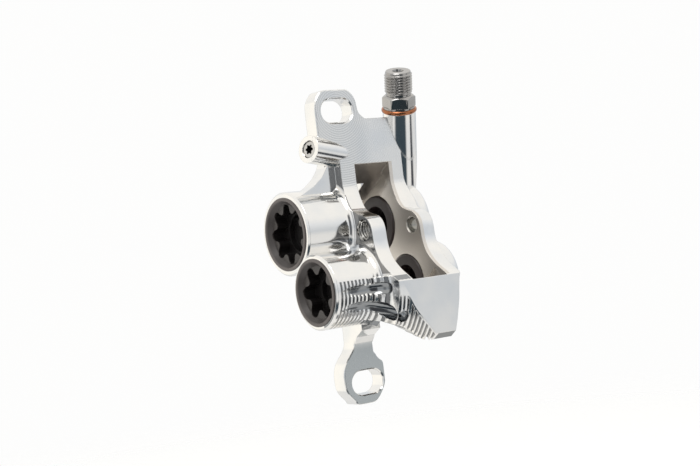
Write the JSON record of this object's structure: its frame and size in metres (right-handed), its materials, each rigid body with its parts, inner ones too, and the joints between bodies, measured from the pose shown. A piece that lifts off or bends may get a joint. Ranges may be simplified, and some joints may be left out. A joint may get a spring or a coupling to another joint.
{
  "type": "bicycle disc brake caliper",
  "caption": "One-piece polished hydraulic disc brake caliper with opposed pistons, screwed bore caps, slotted mounting ears, bleed screw and hose fitting.",
  "frame": {"origin": "midway between the two mounting slots, on the front face of the ears", "axes": "+X along the pistons towards the wheel, +Y along the mounting bolts towards the fork, +Z from the lower ear to the upper ear"},
  "size_m": [0.0425, 0.0403, 0.0909],
  "materials": {
    "body": "bright polished, clear anodised",
    "bore_cap": "dark anodised, satin",
    "cap_seal": "moulded",
    "piston": "ground phenolic, dark",
    "piston_seal": "moulded",
    "insert": "rolled stainless wire",
    "washer": "annealed copper",
    "fitting": "turned, bright plated",
    "bleed_screw": "turned, bright",
    "bleed_seal": "moulded"
  },
  "bodies": {
    "caliper": {"caliper_body": "body", "bore_cap_large": "bore_cap", "bore_cap_small": "bore_cap", "cap_seal_large": "cap_seal", "cap_seal_small": "cap_seal", "pad_screw_insert": "insert", "crush_washer": "washer", "hose_fitting": "fitting", "piston_seal_large_outboard": "piston_seal", "piston_seal_large_inboard": "piston_seal", "piston_seal_small_outboard": "piston_seal", "piston_seal_small_inboard": "piston_seal"},
    "piston_large_outboard_body": {"piston_large_outboard": "piston"},
    "piston_large_inboard_body": {"piston_large_inboard": "piston"},
    "piston_small_outboard_body": {"piston_small_outboard": "piston"},
    "piston_small_inboard_body": {"piston_small_inboard": "piston"},
    "bleed_screw_body": {"bleed_screw": "bleed_screw", "bleed_screw_seal": "bleed_seal"}
  },
  "joints": [
    {"name": "piston_large_outboard_slide", "type": "slide", "parent": "caliper", "child": "piston_large_outboard_body", "axis": [1, 0, 0], "range_m": [0, 0.0025]},
    {"name": "piston_large_inboard_slide", "type": "slide", "parent": "caliper", "child": "piston_large_inboard_body", "axis": [-1, 0, 0], "range_m": [0, 0.0025]},
    {"name": "piston_small_outboard_slide", "type": "slide", "parent": "caliper", "child": "piston_small_outboard_body", "axis": [1, 0, 0], "range_m": [0, 0.0025]},
    {"name": "piston_small_inboard_slide", "type": "slide", "parent": "caliper", "child": "piston_small_inboard_body", "axis": [-1, 0, 0], "range_m": [0, 0.0025]},
    {"name": "bleed_screw_turn", "type": "hinge", "parent": "caliper", "child": "bleed_screw_body", "pos_m": [-0.0098, 0.00135, 0.0272], "axis": [-0.968, -0.1936, 0.1597], "range_deg": [0, 180]}
  ],
  "couplings": [
    {"joint": "piston_large_inboard_slide", "follows": "piston_large_outboard_slide", "ratio": 1},
    {"joint": "piston_small_outboard_slide", "follows": "piston_large_outboard_slide", "ratio": 1},
    {"joint": "piston_small_inboard_slide", "follows": "piston_large_outboard_slide", "ratio": 1}
  ]
}
